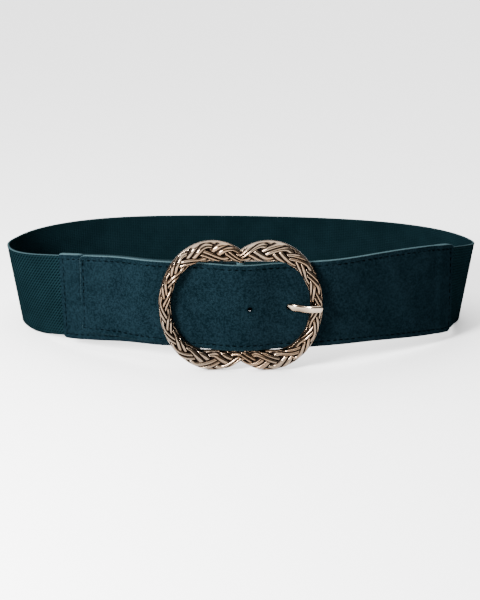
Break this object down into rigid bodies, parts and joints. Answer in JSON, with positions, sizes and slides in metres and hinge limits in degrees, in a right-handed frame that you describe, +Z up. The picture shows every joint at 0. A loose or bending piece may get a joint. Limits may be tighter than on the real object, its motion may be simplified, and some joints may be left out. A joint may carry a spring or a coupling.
{
  "type": "elastic stretch belt with a double-oval braided buckle",
  "caption": "Wide teal elastic waist belt with suede ends, fastened by a rose-gold double-oval buckle with a braided relief.",
  "frame": {"origin": "middle of the bounding box's floor, under the closed loop", "axes": "+X to the right as the buckle is seen, +Y from the buckle to the back of the loop, +Z up"},
  "size_m": [0.3318, 0.1754, 0.0895],
  "materials": {
    "suede": "napped suede, dark teal",
    "elastic_webbing": "matt twill webbing, dark teal",
    "antique_gold": "antique rose gold with dark recesses"
  },
  "bodies": {
    "root": {"elastic_band": "elastic_webbing", "buckle_tab": "suede", "hole_strap": "suede", "buckle_frame": "antique_gold", "prong": "antique_gold"}
  },
  "joints": []
}
